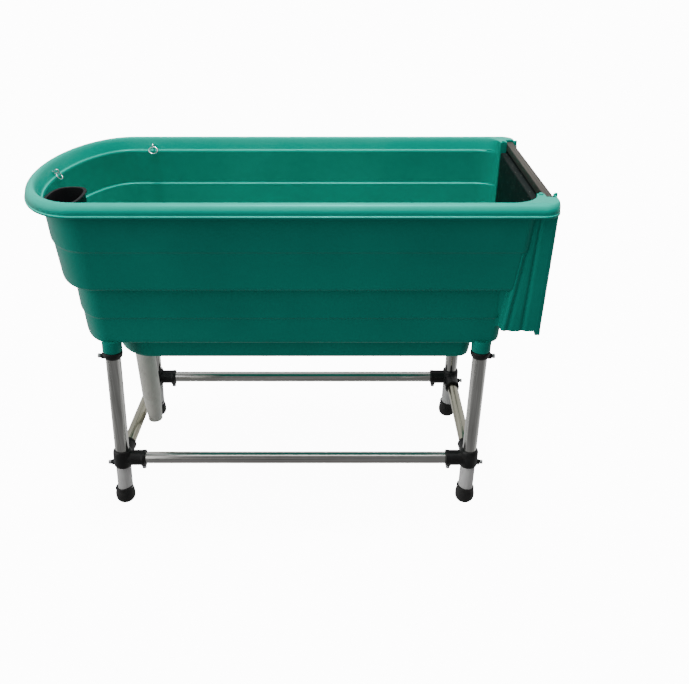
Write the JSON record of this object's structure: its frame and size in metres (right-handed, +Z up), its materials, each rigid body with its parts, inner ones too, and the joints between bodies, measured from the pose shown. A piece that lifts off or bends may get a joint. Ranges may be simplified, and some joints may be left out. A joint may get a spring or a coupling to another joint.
{
  "type": "raised pet bathtub",
  "caption": "Raised moulded pet bathtub with a rounded nose, a lift-out end gate, a drain pipe and a clamped tubular steel stand.",
  "frame": {"origin": "on the floor under the middle of the tub, at the centre of the overall length and width", "axes": "+X along the tub towards the gate end, +Y across it towards the side of the rear rail, +Z up"},
  "size_m": [1.24, 0.59, 0.9],
  "materials": {
    "tub": "satin moulded teal green polyethylene",
    "gate": "dark green-black board, satin",
    "gate_bar": "grey-brown, satin",
    "rubber": "matt black",
    "black_plastic": "fine satin black",
    "steel": "polished stainless tube",
    "screw_steel": "bright zinc",
    "sleeve": "satin grey",
    "pipe": "satin off-white"
  },
  "bodies": {
    "tub": {"tub_shell": "tub", "leg_tube_front_left": "steel", "leg_sleeve_front_left": "sleeve", "foot_front_left": "rubber", "socket_collar_front_left": "black_plastic", "corner_clamp_front_left": "black_plastic", "leg_tube_rear_left": "steel", "leg_sleeve_rear_left": "sleeve", "foot_rear_left": "rubber", "socket_collar_rear_left": "black_plastic", "corner_clamp_rear_left": "black_plastic", "leg_tube_front_right": "steel", "leg_sleeve_front_right": "sleeve", "foot_front_right": "rubber", "socket_collar_front_right": "black_plastic", "corner_clamp_front_right": "black_plastic", "leg_tube_rear_right": "steel", "leg_sleeve_rear_right": "sleeve", "foot_rear_right": "rubber", "socket_collar_rear_right": "black_plastic", "corner_clamp_rear_right": "black_plastic", "rail_front": "steel", "rail_rear": "steel", "cross_rail_left": "steel", "cross_rail_right": "steel", "drain_strainer": "screw_steel", "drain_nut": "black_plastic", "drain_pipe": "pipe", "drain_outlet": "pipe", "tether_eye_nose": "screw_steel", "tether_eye_rear": "screw_steel", "tether_eye_front": "screw_steel"},
    "gate": {"gate_panel": "gate", "gate_top_bar": "gate_bar", "gate_seal": "rubber"},
    "caddy": {"caddy": "black_plastic"},
    "ring_nose": {"tether_ring_nose": "screw_steel"},
    "ring_rear": {"tether_ring_rear": "screw_steel"},
    "ring_front": {"tether_ring_front": "screw_steel"},
    "collar_screw_f_left": {"collar_screw_front_left": "screw_steel"},
    "leg_screw_f_left": {"clamp_leg_screw_front_left": "screw_steel"},
    "rail_screw_f_left": {"clamp_rail_screw_front_left": "screw_steel"},
    "cross_screw_f_left": {"clamp_cross_screw_front_left": "screw_steel"},
    "collar_screw_r_left": {"collar_screw_rear_left": "screw_steel"},
    "leg_screw_r_left": {"clamp_leg_screw_rear_left": "screw_steel"},
    "rail_screw_r_left": {"clamp_rail_screw_rear_left": "screw_steel"},
    "cross_screw_r_left": {"clamp_cross_screw_rear_left": "screw_steel"},
    "collar_screw_f_right": {"collar_screw_front_right": "screw_steel"},
    "leg_screw_f_right": {"clamp_leg_screw_front_right": "screw_steel"},
    "rail_screw_f_right": {"clamp_rail_screw_front_right": "screw_steel"},
    "cross_screw_f_right": {"clamp_cross_screw_front_right": "screw_steel"},
    "collar_screw_r_right": {"collar_screw_rear_right": "screw_steel"},
    "leg_screw_r_right": {"clamp_leg_screw_rear_right": "screw_steel"},
    "rail_screw_r_right": {"clamp_rail_screw_rear_right": "screw_steel"},
    "cross_screw_r_right": {"clamp_cross_screw_rear_right": "screw_steel"}
  },
  "joints": [
    {"name": "gate_lift", "type": "slide", "parent": "tub", "child": "gate", "axis": [0, 0, 1], "range_m": [0, 0.3]},
    {"name": "caddy_lift", "type": "slide", "parent": "tub", "child": "caddy", "axis": [0, 0, 1], "range_m": [0, 0.08]},
    {"name": "ring_swing_nose", "type": "hinge", "parent": "tub", "child": "ring_nose", "pos_m": [-0.576, 0.014, 0.8764], "axis": [0, -1, 0], "range_deg": [0, 100]},
    {"name": "ring_swing_rear", "type": "hinge", "parent": "tub", "child": "ring_rear", "pos_m": [-0.388, 0.252, 0.8764], "axis": [-1, 0, 0], "range_deg": [0, 100]},
    {"name": "ring_swing_front", "type": "hinge", "parent": "tub", "child": "ring_front", "pos_m": [-0.388, -0.252, 0.8764], "axis": [1, 0, 0], "range_deg": [0, 100]},
    {"name": "collar_screw_f_left_turn", "type": "hinge", "parent": "tub", "child": "collar_screw_f_left", "pos_m": [-0.44182, -0.19853, 0.46826], "axis": [-0.9975, 0.0006, 0.0702], "continuous": true},
    {"name": "leg_screw_f_left_turn", "type": "hinge", "parent": "tub", "child": "leg_screw_f_left", "pos_m": [-0.46557, -0.20463, 0.131], "axis": [-1, 0, 0], "continuous": true},
    {"name": "rail_screw_f_left_turn", "type": "hinge", "parent": "tub", "child": "rail_screw_f_left", "pos_m": [-0.40952, -0.20436, 0.146], "axis": [0, 0, -1], "continuous": true},
    {"name": "cross_screw_f_left_turn", "type": "hinge", "parent": "tub", "child": "cross_screw_f_left", "pos_m": [-0.46452, -0.14936, 0.146], "axis": [0, 0, -1], "continuous": true},
    {"name": "collar_screw_r_left_turn", "type": "hinge", "parent": "tub", "child": "collar_screw_r_left", "pos_m": [-0.44182, 0.19853, 0.46826], "axis": [-0.9975, -0.0006, 0.0702], "continuous": true},
    {"name": "leg_screw_r_left_turn", "type": "hinge", "parent": "tub", "child": "leg_screw_r_left", "pos_m": [-0.46557, 0.20463, 0.131], "axis": [-1, 0, 0], "continuous": true},
    {"name": "rail_screw_r_left_turn", "type": "hinge", "parent": "tub", "child": "rail_screw_r_left", "pos_m": [-0.40952, 0.20436, 0.146], "axis": [0, 0, -1], "continuous": true},
    {"name": "cross_screw_r_left_turn", "type": "hinge", "parent": "tub", "child": "cross_screw_r_left", "pos_m": [-0.46452, 0.14936, 0.146], "axis": [0, 0, -1], "continuous": true},
    {"name": "collar_screw_f_right_turn", "type": "hinge", "parent": "tub", "child": "collar_screw_f_right", "pos_m": [0.4885, -0.19851, 0.46941], "axis": [1, -0.0001, -0.0074], "continuous": true},
    {"name": "leg_screw_f_right_turn", "type": "hinge", "parent": "tub", "child": "leg_screw_f_right", "pos_m": [0.48598, -0.20463, 0.131], "axis": [1, 0, 0], "continuous": true},
    {"name": "rail_screw_f_right_turn", "type": "hinge", "parent": "tub", "child": "rail_screw_f_right", "pos_m": [0.43109, -0.20436, 0.146], "axis": [0, 0, -1], "continuous": true},
    {"name": "cross_screw_f_right_turn", "type": "hinge", "parent": "tub", "child": "cross_screw_f_right", "pos_m": [0.48609, -0.14936, 0.146], "axis": [0, 0, -1], "continuous": true},
    {"name": "collar_screw_r_right_turn", "type": "hinge", "parent": "tub", "child": "collar_screw_r_right", "pos_m": [0.4885, 0.19851, 0.46941], "axis": [1, 0.0001, -0.0074], "continuous": true},
    {"name": "leg_screw_r_right_turn", "type": "hinge", "parent": "tub", "child": "leg_screw_r_right", "pos_m": [0.48598, 0.20463, 0.131], "axis": [1, 0, 0], "continuous": true},
    {"name": "rail_screw_r_right_turn", "type": "hinge", "parent": "tub", "child": "rail_screw_r_right", "pos_m": [0.43109, 0.20436, 0.146], "axis": [0, 0, -1], "continuous": true},
    {"name": "cross_screw_r_right_turn", "type": "hinge", "parent": "tub", "child": "cross_screw_r_right", "pos_m": [0.48609, 0.14936, 0.146], "axis": [0, 0, -1], "continuous": true}
  ]
}
